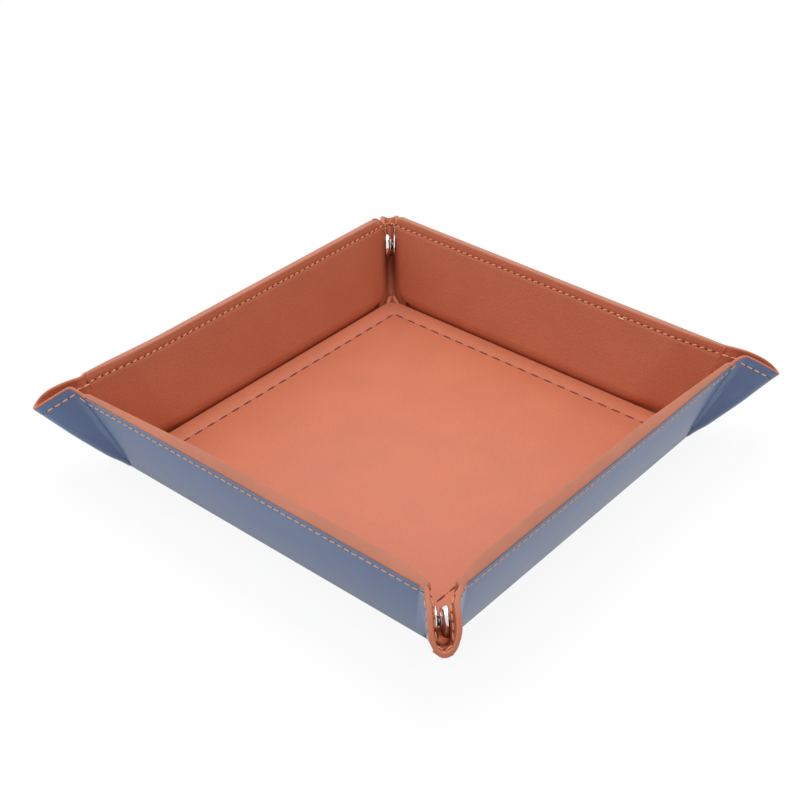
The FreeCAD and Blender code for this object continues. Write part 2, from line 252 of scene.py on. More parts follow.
def add_bump(tree, height, strength, distance, onto):
    """Bump from a texture, whose normal goes on to another node."""
    bump = set_inputs(tree.nodes.new("ShaderNodeBump"), Strength=strength, Distance=distance)
    tree.links.new(height, bump.inputs["Height"])
    tree.links.new(bump.outputs["Normal"], onto.inputs["Normal"])
    return bump


def leather(name, colour, roughness, gloss_level, speckle, grain):
    """Coated imitation leather: mottled, speckled colour, and a pebbled grain in the bump."""
    finish, tree, shader = new_finish(name, Specular_IOR_Level=gloss_level)
    mottle = texture(tree, "ShaderNodeTexNoise", Scale=55.0, Detail=3.0).outputs["Fac"]
    speck = texture(tree, "ShaderNodeTexNoise", Scale=1500.0, Detail=2.0).outputs["Fac"]
    pebble = texture(tree, "ShaderNodeTexVoronoi", Scale=1300.0).outputs["Distance"]
    both = tree.nodes.new("ShaderNodeMix")
    both.data_type = "FLOAT"
    set_inputs(both, Factor=speckle)
    tree.links.new(mottle, both.inputs["A"])
    tree.links.new(speck, both.inputs["B"])
    stops = ((0.30, shade(colour, 0.90)), (0.70, shade(colour, 1.08)))
    tree.links.new(colour_ramp(tree, both.outputs["Result"], *stops), shader.inputs["Base Color"])
    vary_roughness(tree, shader, mottle, roughness - 0.06, roughness + 0.06)
    slow = add_bump(tree, mottle, 0.25, 0.0006, shader)
    add_bump(tree, pebble, grain, 0.00012, slow)
    return finish


lining_leather = leather(
    "cognac_lining", srgb(190, 106, 75), roughness=0.50, gloss_level=0.45, speckle=0.55, grain=0.55,
)
# The rim band is lining leather: this paler, less saturated copy of its colour is painted sheen where the
# rim top faces the light
rim_sheen_lining = leather(
    "lining_rim_painted_sheen", srgb(176, 108, 83), roughness=0.55, gloss_level=0.35, speckle=0.25, grain=0.12,
)
cover_leather = leather(
    "slate_cover", srgb(73, 95, 137), roughness=0.31, gloss_level=0.65, speckle=0.30, grain=0.15,
)
# The second finish of each sheet goes on its rim: for the lining, the copy with painted sheen
SHEET_FINISHES = {"lining": (lining_leather, rim_sheen_lining), "cover": (cover_leather, cover_leather)}
print("leathers:", lining_leather.name, rim_sheen_lining.name, cover_leather.name)


# %% Thread and metal
def twisted_thread(name, colour):
    """Sewing thread: its fine fibres in colour and bump."""
    finish, tree, shader = new_finish(name, Roughness=0.55, Specular_IOR_Level=0.4)
    fibre = texture(tree, "ShaderNodeTexNoise", Scale=4200.0, Detail=2.0).outputs["Fac"]
    stops = ((0.32, shade(colour, 0.72)), (0.62, shade(colour, 1.06)))
    tree.links.new(colour_ramp(tree, fibre, *stops), shader.inputs["Base Color"])
    add_bump(tree, fibre, 0.5, 0.0001, shader)
    return finish


def plated_metal(name, colour, roughness):
    """Nickel plate with faint polishing marks in its roughness."""
    finish, tree, shader = new_finish(name, Metallic=1.0, Base_Color=colour)
    marks = texture(tree, "ShaderNodeTexNoise", Scale=900.0, Detail=4.0).outputs["Fac"]
    vary_roughness(tree, shader, marks, roughness * 0.6, roughness * 1.5)
    return finish


rim_thread = twisted_thread("peach_thread", srgb(236, 178, 134))
base_thread = twisted_thread("russet_thread", srgb(112, 48, 36))
# Colour for the needle holes: painted shade in each hole, with the thread's fibre finish
needle_hole_shade = twisted_thread("needle_hole_shadow", srgb(52, 20, 14))
bright_nickel = plated_metal("bright_nickel", (0.86, 0.85, 0.83, 1), 0.14)
dull_nickel = plated_metal("dull_nickel", (0.70, 0.69, 0.67, 1), 0.30)
print("threads and nickel ready")

# %% [markdown]
# ## The tray's sizes
# These are the sizes of the solid model, in millimetres, so that a soft piece lands on its solid. A wall is
# drawn in its own frame: along the wall, up its slant from the fold, and inwards from its outer face. An
# ear is drawn along its lower fold, up from that, and across from the corner's diagonal plane.

# %% Sizes and frames
BASE_HALF = 85.0
SLANT = 40.6
FOLD = radians(71.2)
SKIN = 2.4
WALL_THICK = 5.3
BASE_THICK = 4.6
FOLD_GAP = 0.15
EAR_GAP = 2.3
EAR_SLOPE = radians(39.5)
SHEET_CORNER = 32.0
SKIN_COVER = 0.4
MITRE = tan(FOLD / 2)
SPREAD = cos(FOLD)
WALLS = ["right", "back", "left", "front"]
CORNERS = ["back_right", "back_left", "front_left", "front_right"]
EAR_TURN = acos(sin(FOLD) / sqrt(2))
EAR_WIDTH = EAR_GAP + SKIN


def quarter_turn(quarter):
    """Turn about the tray's middle that takes the right wall to another wall."""
    return Matrix.Rotation(pi / 2 * quarter, 4, "Z")


def wall_frame(quarter):
    """Matrix from a wall's own directions (along, up the slant, inwards) to the tray."""
    along = Vector((0, -1, 0))
    slant = Vector((cos(FOLD), 0, sin(FOLD)))
    inward = Vector((-sin(FOLD), 0, cos(FOLD)))
    axes = Matrix((along, slant, inward)).transposed().to_4x4()
    return quarter_turn(quarter) @ Matrix.Translation((BASE_HALF, 0, 0)) @ axes


OUT = Vector((1, 1, 0)).normalized()
ACROSS = Vector((1, -1, 0)).normalized()
EAR_FRAME = own_frame(
    (BASE_HALF, BASE_HALF, 0),
    OUT * cos(EAR_SLOPE) + Vector((0, 0, sin(EAR_SLOPE))),
    -OUT * sin(EAR_SLOPE) + Vector((0, 0, cos(EAR_SLOPE))),
    ACROSS,
)
MIRROR = Matrix(((0, 1, 0, 0), (1, 0, 0, 0), (0, 0, 1, 0), (0, 0, 0, 1)))
print("ear halves turn by", round(degrees(EAR_TURN), 2), "degrees")


# %% Helpers that turn a bmesh into a piece
def smoothstep(start, end, number):
    """Soft step from 0 at the start to 1 at the end, which may also lie below the start."""
    share = min(1.0, max(0.0, (number - start) / (end - start)))
    return share * share * (3 - 2 * share)


def make_piece(bm, name, *finishes, matrix=Matrix.Identity(4)):
    """Object from a bmesh in millimetres: merged, normals outwards, smooth but for its sharp edges."""
    bmesh.ops.transform(bm, matrix=matrix, verts=bm.verts)
    bmesh.ops.remove_doubles(bm, verts=bm.verts, dist=0.0005)
    bmesh.ops.recalc_face_normals(bm, faces=bm.faces)
    bmesh.ops.scale(bm, verts=bm.verts, vec=(MM, MM, MM))
    data = bpy.data.meshes.new(name)
    bm.to_mesh(data)
    bm.free()
    for polygon in data.polygons:
        polygon.use_smooth = True
    data.set_sharp_from_angle(angle=radians(38))
    for finish in finishes:
        data.materials.append(finish)
    return add_object(name, data)


def bevel(bm, geom, offset, segments, affect="EDGES"):
    """Bevel of edges or corners with a round profile."""
    bmesh.ops.bevel(
        bm, geom=geom, offset=offset, offset_type="OFFSET", segments=segments,
        profile=0.5, affect=affect, material=-1, clamp_overlap=True,
    )


def new_verts(grown):
    """The corners among what an extrusion has made."""
    return [part for part in grown["geom"] if isinstance(part, bmesh.types.BMVert)]


def slab_grid(columns, rows, place):
    """Closed sheet: a grid of unit size, thickened by one extrusion, whose corners place(u, v, layer) then
    moves. The faces of its far side (v = 1), which is the rim, have the second finish."""
    bm = bmesh.new()
    bmesh.ops.create_grid(bm, x_segments=columns, y_segments=rows, size=0.5)
    grown = bmesh.ops.extrude_face_region(bm, geom=bm.faces[:])
    bmesh.ops.translate(bm, verts=new_verts(grown), vec=(0, 0, 1))
    bmesh.ops.translate(bm, verts=bm.verts, vec=(0.5, 0.5, 0))
    for face in bm.faces:
        face.material_index = 1 if all(vert.co.y > 0.9999 for vert in face.verts) else 0
    for vert in bm.verts:
        vert.co = place(vert.co.x, vert.co.y, vert.co.z)
    return bm


print("helpers ready")

# %% [markdown]
# ## Base
# The base is a stiff board between lining and cover, with a square of long stitches. A cube would do for
# the block, but its edges slope along the plane where base and wall meet, and the lining dips where the
# thread pulls it down. So a rounded square is cut along the stitch line, pushed down there, and extruded.


# %% Base lining with a sunk stitch line
BASE_CORNER = 7.0
BASE_EDGE = 0.9
LINING_FOOT = 0.6
STITCH_SQUARE = 72.1
STITCH_DIP = 0.35
DIP_REACH = 1.1


def rounded_square(reach, radius, height):
    """One flat face with rounded corners."""
    bm = bmesh.new()
    bmesh.ops.create_grid(bm, x_segments=1, y_segments=1, size=reach)
    bmesh.ops.translate(bm, verts=bm.verts, vec=(0, 0, height))
    bevel(bm, bm.verts[:], radius * tan(pi / 8) * 2, 8, "VERTICES")
    return bm


def outer_edges(bm):
    """Edges with a face on one side only."""
    return [edge for edge in bm.edges if edge.is_boundary]


def grow_down(bm, depth, slope):
    """Extrudes the outline of a flat face downwards, spreading it along a slope, and closes it below."""
    grown = bmesh.ops.extrude_edge_only(bm, edges=outer_edges(bm))
    for vert in new_verts(grown):
        vert.co.z -= depth
        vert.co.x += copysign(depth * slope, vert.co.x)
        vert.co.y += copysign(depth * slope, vert.co.y)
    bmesh.ops.holes_fill(bm, edges=outer_edges(bm), sides=0)


bm = rounded_square(BASE_HALF - FOLD_GAP - BASE_THICK * MITRE, BASE_CORNER, BASE_THICK)
for offset in (-DIP_REACH, 0.0, DIP_REACH):
    for side in (Vector((1, 0, 0)), Vector((-1, 0, 0)), Vector((0, 1, 0)), Vector((0, -1, 0))):
        bmesh.ops.bisect_plane(
            bm, geom=bm.verts[:] + bm.edges[:] + bm.faces[:], dist=0.0001,
            plane_co=side * (STITCH_SQUARE + offset), plane_no=side,
        )
for vert in bm.verts:
    if abs(max(abs(vert.co.x), abs(vert.co.y)) - STITCH_SQUARE) < 0.01:
        vert.co.z -= STITCH_DIP
top_outline = outer_edges(bm)
grow_down(bm, BASE_THICK - LINING_FOOT, MITRE)
bevel(bm, [edge for edge in top_outline if edge.is_valid], BASE_EDGE, 4)
base_lining = make_piece(bm, "base_lining_panel", lining_leather)
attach(base_lining, "base")
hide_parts("base_lining", "base_board")
print("base lining:", len(base_lining.data.polygons), "faces")

# %% Base cover on the table
COVER_CORNER = 5.0
BASE_COVER_THICK = SKIN_COVER + 0.3
FOLD_STRIP = 2.0
bm = rounded_square(BASE_HALF - FOLD_STRIP, COVER_CORNER, BASE_COVER_THICK)
grow_down(bm, BASE_COVER_THICK, 0.0)
base_cover = make_piece(bm, "base_cover_panel", cover_leather)
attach(base_cover, "base")
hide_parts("base_cover")
print("base cover:", len(base_cover.data.polygons), "faces")

# %% [markdown]
# ## Walls
# A wall is a board wrapped in lining, with the cover bonded outside. Seen from above its rim is a brown
# band as thick as the whole wall, so the lining panel takes the full thickness, and the cover is a thin
# skin that stops just short of the rim. A bevelled block would look like wood: the panel is a grid whose
# inner face is drawn down along the seam and thins out softly towards the ears.

# %% Wall panels
CREASE_FOOT = BASE_HALF - SKIN * sin(FOLD) - sqrt(2) * EAR_GAP
PANEL_FOOT = CREASE_FOOT - (WALL_THICK - SKIN) * sin(FOLD)
CREASE_STRETCH = sqrt(1 + SPREAD * SPREAD)
EAR_START = -5.6
COVER_FOOT = CREASE_FOOT + EAR_START * CREASE_STRETCH
RIM_SEAM = 4.0
COVER_SEAM = 3.0
PANEL_LOW_CORNER = 6.0
PANEL_LEAST = SKIN_COVER + 0.6
PANEL_GRID = (48, 36)
RIM_SHEEN_BAND = 0.5
RIM_INSET = 0.45
RIM_ROUND = 0.7
FOOT_ROUND = 1.0
OUTER_ROUND = 0.5
GROOVE_DEPTH = 0.35
GROOVE_WIDTH = 0.6
COVER_LAP = 0.2
COVER_EDGE = 0.25
COVER_STEPS = 8
SOFT_END = {"taper": 60.0, "thick": 2.8, "corner": 3.0, "round": 1.8}
NECK_END = {"taper": 14.0, "thick": 3.4, "corner": 2.0, "round": 1.6}
FLUSH_END = {"taper": 20.0, "thick": 2.2, "corner": 2.0, "round": 0.3}
SOFT_ENDS = {
    "back_left": {"taper": 6.0, "thick": 5.0, "corner": 2.5, "round": 2.2},
    "left_back": {"taper": 9.0, "thick": 4.6, "corner": 6.0, "round": 2.2},
    "left_front": {"taper": 20.0, "thick": 2.2, "corner": 5.0, "round": 0.3},
    "front_right": NECK_END, "right_front": NECK_END, "back_right": FLUSH_END,
}
WALL_RISE = {"back": (1.9, 0.7, 0.0), "left": (1.2, 1.9, 1.0)}
PULL_LENGTH = 40.0


def rim_height(quarter, along):
    """Height of a wall's rim up its slant: the far walls' rims rise a little, unequally at their ends."""
    first, second, pulled_up = WALL_RISE.get(WALLS[quarter], (0.0, 0.0, 0.0))
    rise = first + (second - first) * (along / (2 * BASE_HALF) + 0.5)
    return SLANT + rise + pulled_up * smoothstep(PULL_LENGTH, 0.0, BASE_HALF + along)


def rounding(distance, radius):
    """How far a round edge draws back at a distance from it."""
    return radius - sqrt(radius ** 2 - min(radius, max(0.0, radius - distance)) ** 2)


def panel_end(quarter, along):
    """Softness of the end of a wall panel that lies on one side of its middle."""
    neighbour = WALLS[(quarter + (1 if along < 0 else -1)) % 4]
    return SOFT_ENDS.get(f"{WALLS[quarter]}_{neighbour}", SOFT_END)


def panel_reach(end, height, low, below):
    """Half length of a lining panel at a height, drawn in at its lower corner and at its rim."""
    drawn_in = rounding(height - low, PANEL_LOW_CORNER) + rounding(below, end["corner"])
    return PANEL_FOOT + height * SPREAD - drawn_in


def panel_depth(quarter, along, height):
    """Depth of a lining panel's inner face: thick in the middle, sunk at the seam, thinner at the ears."""
    end = panel_end(quarter, along)
    low = FOLD_GAP + WALL_THICK * MITRE
    below = rim_height(quarter, along) - height
    from_end = panel_reach(end, height, low, below) - abs(along)
    full = min(1.0, max(0.0, from_end / end["taper"]))
    thick = end["thick"] + (WALL_THICK - end["thick"]) * full
    groove = GROOVE_DEPTH * exp(-((below - RIM_SEAM) / GROOVE_WIDTH) ** 2)
    edge = rounding(below, RIM_ROUND) + rounding(height - low, FOOT_ROUND)
    return max(PANEL_LEAST, thick - groove - (edge + rounding(from_end, end["round"])))


def panel_point(quarter, u, v, w):
    """Place on a wall's lining panel, with columns close together at the ends and rows at the rim."""
    share = (2 * u - 1) * (1.5 - 0.5 * (2 * u - 1) ** 2)
    end = panel_end(quarter, share)
    low = FOLD_GAP + (WALL_THICK if w else SKIN_COVER) * MITRE
    rim = rim_height(quarter, share * BASE_HALF)
    height = low + (rim - low) * (1 - (1 - v) ** 2)
    along = panel_reach(end, height, low, rim - height) * share
    if w:
        return Vector((along, height, panel_depth(quarter, along, height)))
    return Vector((along, height, SKIN_COVER + rounding(rim - height, OUTER_ROUND)))


for quarter, wall in enumerate(WALLS):
    name = f"{wall}_wall"
    matrix = wall_frame(quarter)
    bm = slab_grid(*PANEL_GRID, lambda u, v, w: panel_point(quarter, u, v, w))
    # Faces in this band below the rim take the lining's copy with painted sheen
    for face in bm.faces:
        spot = face.calc_center_median()
        face.material_index = 1 if spot.y > rim_height(quarter, spot.x) - RIM_SHEEN_BAND else 0
    panel = make_piece(bm, f"{name}_lining_panel", *SHEET_FINISHES["lining"], matrix=matrix)
    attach(panel, name)
    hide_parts(f"{name}_lining", f"{name}_board")

    half_foot = COVER_FOOT + FOLD_STRIP * SPREAD
    corners = [(-half_foot, FOLD_STRIP), (half_foot, FOLD_STRIP)]
    for number in range(2 * COVER_STEPS + 1):
        share = 1 - number / COVER_STEPS
        high = rim_height(quarter, share * BASE_HALF) - RIM_INSET
        corners.append((share * (COVER_FOOT + high * SPREAD), high))
    bm = bmesh.new()
    bm.faces.new([bm.verts.new((along, height, 0.0)) for along, height in corners])
    rim = [edge for edge in bm.edges if all(vert.co.y > SLANT / 2 for vert in edge.verts)]
    grown = bmesh.ops.extrude_face_region(bm, geom=bm.faces[:])
    bmesh.ops.translate(bm, verts=new_verts(grown), vec=(0, 0, SKIN_COVER + COVER_LAP))
    bevel(bm, [edge for edge in rim if edge.is_valid], COVER_EDGE, 2)
    skin = make_piece(bm, f"{name}_cover_panel", cover_leather, matrix=matrix)
    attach(skin, name)
    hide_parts(f"{name}_cover")
print("walls:", ", ".join(WALLS))

# %% [markdown]
# ## Folds between base and walls
# The sheets run unbroken from the base up into the walls. A strip of each crosses the fold, bent to its
# standing shape.

# %% Fold strips
FOLD_RADIUS = 1.6
FOLD_SKIN = 0.6
FOLD_LAP = 1.0
FOLD_GRID = (16, 1)


def fold_point(travel, depth):
    """Place across the fold: travel below 0 is on the base, above 0 on the wall, and depth is inwards."""
    reach = FOLD_RADIUS * MITRE
    if travel < -reach:
        return Vector((BASE_HALF + travel, depth))
    if travel > reach:
        return Vector((
            BASE_HALF + travel * cos(FOLD) - depth * sin(FOLD),
            travel * sin(FOLD) + depth * cos(FOLD),
        ))
    turn = FOLD * (travel + reach) / (2 * reach)
    centre = Vector((BASE_HALF - reach, FOLD_RADIUS))
    return centre + (FOLD_RADIUS - depth) * Vector((sin(turn), -cos(turn)))


def make_fold(quarter, layer, low, high, half_length):
    """Strip of one sheet across a fold, between two depths from the outside."""
    name = f"{WALLS[quarter]}_wall"

    def place(u, v, w):
        across, height = fold_point(FOLD_STRIP * (2 * u - 1), low + (high - low) * w)
        return Vector((across, half_length * (2 * v - 1), height))

    bm = slab_grid(*FOLD_GRID, place)
    turn = quarter_turn(quarter)
    strip = make_piece(bm, f"{name}_fold_{layer}", SHEET_FINISHES[layer][0], matrix=turn)
    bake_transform(strip)


for quarter in range(4):
    make_fold(quarter, "cover", 0.0, FOLD_SKIN, CREASE_FOOT + FOLD_LAP)
    make_fold(quarter, "lining", FOLD_SKIN, 2 * FOLD_SKIN, CREASE_FOOT - FOLD_LAP)
print("folds:", 2 * len(WALLS), "strips")

# %% [markdown]
# ## Ears
# At each corner the thin sheet beyond two walls is pinched outwards: it turns out of each wall round a
# soft slanting crease, runs flat beside the snap, and bends round to meet the other half at the lower fold.
# A cloth simulation could find such a form, but a grid laid along the sheet's own flat pattern keeps the
# rim a true curve. No two ears stand alike, so each has its own spread, lean, lift, and hump of the rim
# over its creases.

# %% The sheet round a corner, as a flat pattern bent to shape
EAR_ARC = (EAR_GAP + SKIN / 2) * pi / 2
CREASE_NARROW = 1.0
CREASE_WIDE = 4.6
CREASE_STEPS = 80
RIM_CENTRE = sqrt(2) * (SLANT - SHEET_CORNER)
EAR_PLAIN = {
    "spread": (0.0, 0.0), "mouth": (0.0, 0.0), "flare": (0.0, 0.0), "hump": (0.0, 0.0),
    "lean": 0.0, "lift": 0.0, "hump_at": 1.5, "thinning": 0.8,
}
EAR_FORMS = {
    "back_right": {"spread": (-1.2, -1.2), "lift": 0.3, "hump": (2.0, 0.0)},
    "back_left": {"lean": 1.7, "hump_at": 6.0, "hump": (-5.2, -6.2), "thinning": 0.3},
    "front_left": {"lift": 2.0, "hump": (-1.2, 2.0)},
    "front_right": {
        "spread": (0.3, 1.2), "mouth": (0.6, 1.1), "flare": (0.2, 0.9), "hump": (-0.5, -0.5),
        "lean": 1.9, "thinning": 0.3,
    },
}
SNAP_ALONG = 25.5
SNAP_ABOVE = 10.7
FOLD_LIFT = 0.8
LIFT_LENGTH = 44.0
KEEL_PINCH = 0.25
HUMP_WIDTH = 7.0
ROUND_SHARE = 0.9
TABLE_GAP = 0.06
RIM_OVERLAP = 0.06

# Soft steps, from where each is 0 to where it is 1: along crease or fold, above the fold, across the
# crease, and below the rim
ROUND_ALONG = KEEL_ALONG = (22.0, 40.0)
MOUTH_ALONG = (24.0, 44.0)
LEAN_ALONG = (10.0, 50.0)
HEEL_ALONG = (8.0, 1.0)
NECK_ALONG = (10.0, 34.0)
KEEL_ABOVE = (9.5, 0.0)
HEEL_ABOVE = (9.0, 0.0)
NECK_BEGINS = (EAR_START, 0.5)
NECK_ENDS = (7.0, 1.5)
FLARE_BEGINS = (-2.0, 5.0)
HUMP_BEGINS = (EAR_START, -2.0)
RISE_ENDS = (13.0, -3.0)
ARC_BEGINS = (-1.5, 4.5)
EAR_BEGINS = (-3.5, 4.0)
FLARE_BELOW = (9.0, 0.0)
THIN_BELOW = (9.0, 1.5)
ROLL_BELOW = (0.75, 0.45)

crease_foot = Vector((BASE_HALF - SKIN * sin(FOLD), CREASE_FOOT, SKIN * cos(FOLD)))
crease_up = Vector((SPREAD, SPREAD, sin(FOLD))).normalized()
wall_normal = Vector((-sin(FOLD), 0, cos(FOLD)))
crease_across = wall_normal.cross(crease_up)
to_ear = EAR_FRAME.inverted()
foot_in_ear = to_ear @ crease_foot
CREASE_COS, CREASE_SIN, _ = to_ear.to_3x3() @ crease_up
PATTERN_SHIFT = EAR_ARC - EAR_WIDTH


def crease_reach(along):
    """Half width of the crease at a distance up it: wide at the rim, drawn in towards the base corner."""
    return CREASE_NARROW + (CREASE_WIDE - CREASE_NARROW) * smoothstep(0.0, SLANT, along) ** 0.8


def crease_path(turn_at):
    """Profile across a crease as (share of the turn, forward, outward), from how the turn grows."""
    path = [(0.0, 0.0, 0.0)]
    for number in range(CREASE_STEPS):
        turn = EAR_TURN * turn_at((number + 0.5) / CREASE_STEPS)
        _, forward, outward = path[-1]
        end = turn_at((number + 1) / CREASE_STEPS)
        path.append((end, forward + cos(turn) / CREASE_STEPS, outward + sin(turn) / CREASE_STEPS))
    size = 2 * cos(EAR_TURN / 2) / hypot(*path[-1][1:])
    return [(turn, forward * size, outward * size) for turn, forward, outward in path]


ROUND_PATH = crease_path(lambda share: share)
FACET_PATH = crease_path(
    lambda share: 0.5 * smoothstep(0.0, 0.3, share) + 0.5 * smoothstep(0.7, 1.0, share)
)


def on_crease(share, along):
    """Turn, forward and outward shares at a place across the crease: a facet low down, round at the rim."""
    spot = min(1.0, max(0.0, share)) * CREASE_STEPS
    index = min(int(spot), CREASE_STEPS - 1)
    rounded = ROUND_SHARE * smoothstep(*ROUND_ALONG, along)
    shares = []
    for part in range(3):
        facet, arc = [
            path[index][part] + (path[index + 1][part] - path[index][part]) * (spot - index)
            for path in (FACET_PATH, ROUND_PATH)
        ]
        shares.append(facet + (arc - facet) * rounded)
    return shares


def mouth_spread(travel, spread):
    """Extra spread of the ear towards its mouth."""
    return spread * smoothstep(*MOUTH_ALONG, travel)


def to_crease(travel, pattern):
    """The same place in the flat pattern, measured across and along the crease."""
    east = travel - foot_in_ear.x
    north = pattern - PATTERN_SHIFT - foot_in_ear.y
    return east * CREASE_SIN - north * CREASE_COS, east * CREASE_COS + north * CREASE_SIN


def ear_form(quarter, hand):
    """Form of one ear half, with the lean towards its own side and the rise of its own wall's rim."""
    form = {**EAR_PLAIN, **EAR_FORMS[CORNERS[quarter]]}
    side = 0 if hand > 0 else 1
    form["lean"] *= hand
    for name in ("spread", "mouth", "flare", "hump"):
        form[name] = form[name][side]
    form["rise"] = rim_height((quarter + side) % 4, -hand * BASE_HALF) - SLANT
    return form


def settle(point, form, share):
    """Soft set of a real ear: its lower fold starts above the base corner and narrows to a round keel, and
    the tip leans and lifts. Share is how far the place belongs to the ear, and not to the wall."""
    along, rise, across = to_ear @ point
    across *= 1 - KEEL_PINCH * smoothstep(*KEEL_ABOVE, rise) * smoothstep(*KEEL_ALONG, along)
    across += form["lean"] * smoothstep(*LEAN_ALONG, along) * share
    rise += FOLD_LIFT * smoothstep(*HEEL_ALONG, along) * smoothstep(*HEEL_ABOVE, rise) * share
    rise += form["lift"] * (max(0.0, along) / LIFT_LENGTH) ** 2 * share
    return EAR_FRAME @ Vector((along, rise, across))


def leg_point(across, along, depth, form):
    """Place on the sheet beside a crease: across from it, along it, and depth from the lining face."""
    reach = crease_reach(along)
    flat, drop = across, -depth
    if across > -reach:
        turned, forward, outward = on_crease((across + reach) / (2 * reach), along)
        turn = EAR_TURN * turned
        beyond = max(0.0, across - reach)
        flat = reach * (forward - 1) - depth * sin(turn) + beyond * cos(EAR_TURN)
        drop = -reach * outward - depth * cos(turn) - beyond * sin(EAR_TURN)
    point = crease_foot + crease_up * along + crease_across * flat + wall_normal * drop
    leg_end = (foot_in_ear.y + along * CREASE_SIN - EAR_WIDTH) / CREASE_COS
    share = min(1.0, max(0.0, across) / max(leg_end, 0.1))
    travel = foot_in_ear.x + along * CREASE_COS + across * CREASE_SIN
    wider = mouth_spread(travel, form["spread"]) * (1 - (1 - share) ** 2)
    at_neck = smoothstep(*NECK_BEGINS, across) * smoothstep(*NECK_ENDS, across)
    wider += form["mouth"] * at_neck * smoothstep(*NECK_ALONG, along)
    near_rim = smoothstep(*FLARE_BELOW, rim_along(across, form) - along)
    wider += form["flare"] * (1 - share ** 4) * near_rim * smoothstep(*FLARE_BEGINS, across)
    point += ACROSS * wider
    return settle(point, form, smoothstep(*EAR_BEGINS, across))


def bend_point(travel, pattern, depth, form):
    """Place in the bend of the lower fold: along it, and by the way round the sheet from its middle."""
    turn = pattern / EAR_ARC * pi / 2
    radius = EAR_GAP + depth
    across = (radius + mouth_spread(travel, form["spread"])) * sin(turn)
    spot = Vector((travel, EAR_WIDTH - radius * cos(turn), across))
    point = settle(EAR_FRAME @ spot, form, 1.0)
    point.z = max(point.z, TABLE_GAP + (SKIN - depth))
    return point


def rim_along(across, form):
    """How far up the crease direction the rim lies: straight beside the wall, humped or sunk over the
    crease, then the sheet's round corner."""
    straight = SLANT * CREASE_STRETCH + across * SPREAD
    side = foot_in_ear.x + across * CREASE_SIN - RIM_CENTRE
    rise = foot_in_ear.y - across * CREASE_COS + PATTERN_SHIFT
    middle = side * CREASE_COS + rise * CREASE_SIN
    arc = -middle + sqrt(middle * middle - side * side - rise * rise + SHEET_CORNER ** 2)
    hump = form["hump"] * exp(-((across - form["hump_at"]) / HUMP_WIDTH) ** 2)
    hump *= smoothstep(*HUMP_BEGINS, across)
    wall_rise = form["rise"] * CREASE_STRETCH * smoothstep(*RISE_ENDS, across)
    return straight + (arc - straight) * smoothstep(*ARC_BEGINS, across) + hump + wall_rise


def rim_travel(pattern):
    """Where the rim crosses the bend of the lower fold."""
    return RIM_CENTRE + sqrt(SHEET_CORNER ** 2 - pattern ** 2)


def sheet_depth(layer, below, low, high, form, w):
    """Depth of a sheet's inner (w = 0) or outer face: the lining is thinned and rounded over at its rim,
    and spread there over the cover's edge."""
    if layer == "lining":
        over = high + (SKIN + RIM_OVERLAP - high) * smoothstep(*ROLL_BELOW, below)
        thinned = low + form["thinning"] * smoothstep(*THIN_BELOW, below)
        low, high = thinned + rounding(below, RIM_ROUND), over - rounding(below, RIM_ROUND)
    return low + (high - low) * w


print("ear pattern:", round(EAR_ARC, 2), "mm round the half bend, tip at", round(rim_travel(0), 2), "mm")


# %% Ear halves and the bend between them
CAP_BULGE = 0.35
CAP_AROUND = (5.2, 2.8)
FOLD_FOOT = -1.9
BEND_START = -7.0
LEG_LENGTH = 42.0
BEND_LENGTH = 50.0
BEND_GRID = (10, 36)


def ear_matrix(quarter, hand):
    """Matrix that takes the pattern's corner to another corner, mirrored for the second wall's half."""
    return quarter_turn(quarter) @ (MIRROR if hand < 0 else Matrix.Identity(4))


def flap_name(quarter, hand):
    """Names of the wall that carries an ear half and of the half's own body."""
    first = WALLS[quarter]
    second = WALLS[(quarter + 1) % 4]
    own, other = (first, second) if hand > 0 else (second, first)
    return f"{own}_wall", f"{own}_wall_{other}_flap"


def flatten_with(piece, quarter, hand):
    """Attaches a piece of the bend to the body of its ear half, with a mesh of its own."""
    _, flap = flap_name(quarter, hand)
    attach(piece, flap)
    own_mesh(piece)


def make_ear_half(quarter, hand, layer, low, high, inset):
    """One sheet of an ear half, from under the wall panel round the crease to the bend."""
    wall, flap = flap_name(quarter, hand)
    form = ear_form(quarter, hand)
    first_low = FOLD_STRIP * CREASE_STRETCH + EAR_START * SPREAD
    first_rim = rim_along(EAR_START, form)
    last_rim = rim_travel(EAR_ARC)

    def place(u, v, w):
        risen = 1 - (1 - v) ** 2
        close = u * (0.4 + 0.6 * u)
        first = Vector((EAR_START, first_low + (first_rim - first_low) * risen))
        last = Vector(to_crease(FOLD_FOOT + (last_rim - FOLD_FOOT) * risen, EAR_ARC))
        spot = first.lerp(last, close)
        top = Vector((EAR_START, first_rim)).lerp(Vector(to_crease(last_rim, EAR_ARC)), close)
        spot.y += (rim_along(top.x, form) - top.y) * risen ** 3 - inset * risen ** 3
        depth = sheet_depth(layer, (1 - risen) * LEG_LENGTH, low, high, form, w)
        point = leg_point(spot.x, spot.y, depth, form)
        if layer == "cover":
            on_ear = to_ear @ point
            from_snap = hypot(on_ear.x - SNAP_ALONG, on_ear.y - SNAP_ABOVE)
            point += ACROSS * CAP_BULGE * smoothstep(*CAP_AROUND, from_snap)
        return point

    bm = slab_grid(*PANEL_GRID, place)
    turn = ear_matrix(quarter, hand)
    half = make_piece(bm, f"{flap}_{layer}_sheet", *SHEET_FINISHES[layer], matrix=turn)
    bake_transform(half)
    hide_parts(f"{flap}_{layer}")


